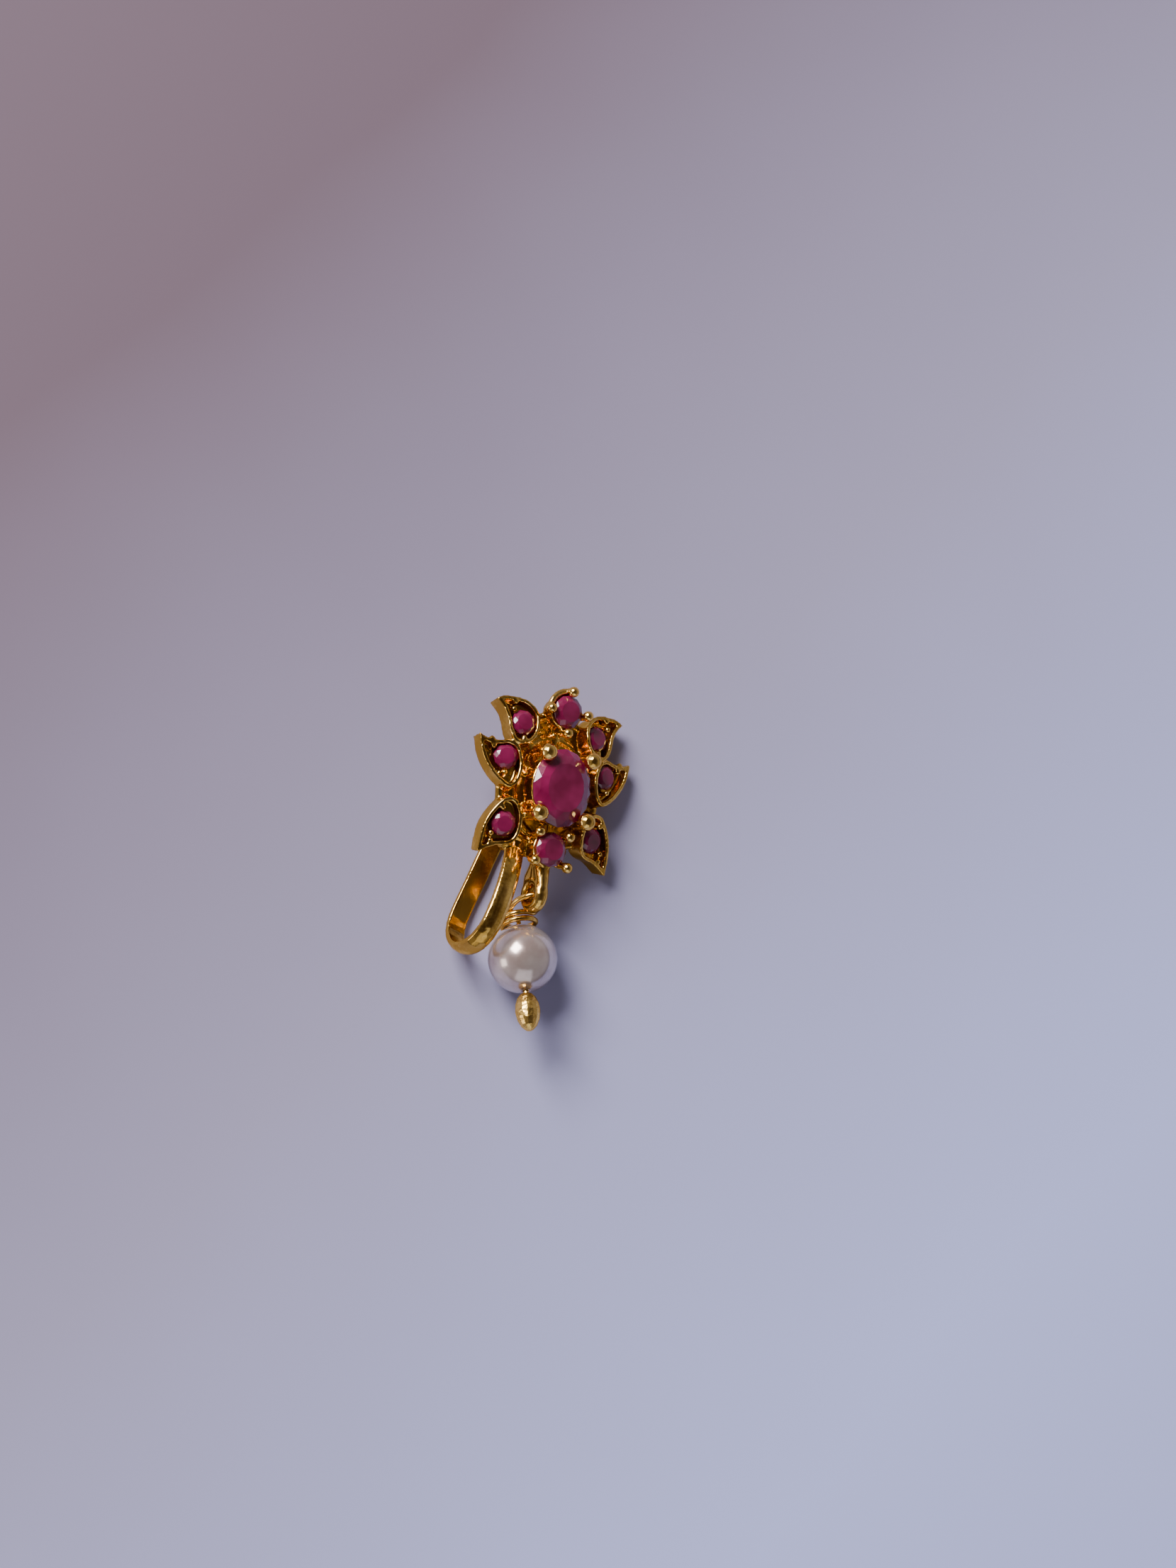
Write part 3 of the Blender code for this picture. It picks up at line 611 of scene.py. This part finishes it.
class NATH_OT_pearl(bpy.types.Operator):
    """Make the drilled pearl"""

    bl_idname = "nath.pearl"
    bl_label = "Pearl"

    def execute(self, context):
        sizes = context.scene.nath
        centre, axis = pin_axis()
        low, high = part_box("pearl")
        radius = (high[2] - low[2]) / 2
        edge = math.asin(PEARL_BORE / radius)
        angle = np.linspace(edge, math.pi - edge, PEARL_RINGS)
        reach = radius * BORE_REACH
        profile_radius = np.concatenate([radius * np.sin(angle), [PEARL_BORE, PEARL_BORE]])
        profile_height = np.concatenate([-radius * np.cos(angle), [reach, -reach]])
        points, faces = turned_grid(profile_radius, profile_height, PEARL_SIDES)
        last = (len(profile_radius) - 1) * PEARL_SIDES
        for here in range(PEARL_SIDES):
            beside = (here + 1) % PEARL_SIDES
            faces.append([last + here, last + beside, beside, here])
        finish = pearl_finish("pearl", tuple(sizes.pearl), tuple(sizes.pearl_rosy))
        piece = add_mesh("pearl_round", on_pin(points, centre, axis), faces, finish)
        dress(piece, "pearl")
        return {"FINISHED"}


class NATH_OT_drop(bpy.types.Operator):
    """Dress the wire and the long end bead"""

    bl_idname = "nath.drop"
    bl_label = "Wire and end bead"

    def execute(self, context):
        sizes = context.scene.nath
        gold, deep = tuple(sizes.gold), tuple(sizes.gold_deep_and_shade)
        wire_gold = gold_finish("wire_gold", gold, deep, roughness=0.2, relief=0.12)
        wire = round_wire("drop_wire", sizes.wire_swell, wire_gold)
        dress(wire, "drop_wire")
        bead_gold = gold_finish("bead_gold", gold, deep, roughness=0.22, relief=0.9)
        bead = cast_copy("end_bead", sizes.bead_step, rounds=8, finish=bead_gold)
        dress(bead, "end_bead")
        return {"FINISHED"}


class NATH_OT_stage(bpy.types.Operator):
    """Make the floor, the lights and the camera"""

    bl_idname = "nath.stage"
    bl_label = "Floor, light and camera"

    def execute(self, context):
        self.floor(context.scene.nath)
        self.camera()
        self.lights()
        return {"FINISHED"}

    def floor(self, sizes):
        """A plain floor with painted light: its colour goes slowly from painted shade at the view's
        upper left to painted light at its lower right.
        """
        corners = [(-1.0, -1.0, 0.0), (1.0, -1.0, 0.0), (1.0, 1.0, 0.0), (-1.0, 1.0, 0.0)]
        points = np.array(corners) * FLOOR_HALF
        finish = Finish("floor", Roughness=0.75)
        place = finish.place()
        right, up, _ = camera_axes()
        way = unit((right - up) * (1.0, 1.0, 0.0)) / PAINTED_LIGHT_LENGTH
        # Painted light and shade across the floor, with a faint random mottle
        painted_light_tone = finish.along(place, way) + finish.noise(place, scale=0.02) * 0.1 + 0.45
        finish.colour(painted_light_tone, [
            (0.12, tuple(sizes.floor_painted_shade)),
            (0.5, tuple(sizes.floor)),
            (0.88, tuple(sizes.floor_painted_light)),
        ])
        floor = add_mesh("floor", points, [(0, 1, 2, 3)], finish.made)

    def camera(self):
        """A camera that has the centre stone at its place in the photograph, at the same scale."""
        right, up, back = camera_axes()
        height = PHOTO_SIZE[1] / PIXELS_PER_METRE
        aside = (PHOTO_SIZE[0] / 2 - CENTRE_STONE_PIXEL[0]) / PIXELS_PER_METRE
        above = (CENTRE_STONE_PIXEL[1] - PHOTO_SIZE[1] / 2) / PIXELS_PER_METRE
        lens = bpy.data.cameras.new("camera")
        lens.sensor_width = SENSOR
        lens.lens = FOCAL_LENGTH
        distance = height * lens.lens / SENSOR
        place = middle_of("center_stone") + right * aside + up * above + back * distance
        camera = bpy.data.objects.new("camera", lens)
        camera.matrix_world = Matrix((
            (right[0], up[0], back[0], place[0]),
            (right[1], up[1], back[1], place[1]),
            (right[2], up[2], back[2], place[2]),
            (0, 0, 0, 1),
        ))
        lens.clip_start, lens.clip_end = CLIP_DISTANCES
        bpy.context.scene.collection.objects.link(camera)
        bpy.context.scene.camera = camera

    def lights(self):
        """The lamps, and the light that comes from the room."""
        for name, place, size, power, colour in LAMPS:
            light = bpy.data.lights.new(name, "AREA")
            light.shape = "SQUARE"
            light.size = size
            light.energy = power
            light.color = colour
            lamp = bpy.data.objects.new(name, light)
            lamp.location = place
            way = Vector(LAMP_TARGET) - Vector(place)
            lamp.rotation_euler = way.to_track_quat("-Z", "Y").to_euler()
            bpy.context.scene.collection.objects.link(lamp)
        world = bpy.data.worlds.new("studio")
        world.use_nodes = True
        tree = world.node_tree
        background = tree.nodes["Background"]
        way = tree.nodes.new("ShaderNodeTexCoord")
        split = tree.nodes.new("ShaderNodeSeparateXYZ")
        ramp = tree.nodes.new("ShaderNodeValToRGB")
        tree.links.new(way.outputs["Generated"], split.inputs[0])
        tree.links.new(split.outputs["Z"], ramp.inputs["Fac"])
        tree.links.new(ramp.outputs["Color"], background.inputs["Color"])
        set_stops(ramp.color_ramp, ROOM_COLOURS)
        background.inputs["Strength"].default_value = ROOM_STRENGTH
        bpy.context.scene.world = world


class NATH_PT_panel(bpy.types.Panel):
    """Lists the nath's sizes and steps"""

    bl_label = "Nath nose ring"
    bl_idname = "NATH_PT_panel"
    bl_space_type = "VIEW_3D"
    bl_region_type = "UI"
    bl_category = "Nath"

    def draw(self, context):
        for name in NathSizes.__annotations__:
            self.layout.prop(context.scene.nath, name)
        for operator in OPERATORS:
            self.layout.operator(operator.bl_idname)


OPERATORS = (NATH_OT_stage, NATH_OT_setting, NATH_OT_stones, NATH_OT_pearl, NATH_OT_drop)
CLASSES = (NathSizes, *OPERATORS, NATH_PT_panel)


def register():
    for thing in CLASSES:
        bpy.utils.register_class(thing)
    bpy.types.Scene.nath = PointerProperty(type=NathSizes)


def unregister():
    del bpy.types.Scene.nath
    for thing in reversed(CLASSES):
        bpy.utils.unregister_class(thing)


def main():
    register()
    bpy.ops.nath.stage()
    bpy.ops.nath.setting()
    bpy.ops.nath.stones()
    bpy.ops.nath.pearl()
    bpy.ops.nath.drop()


if __name__ == "__main__":
    main()
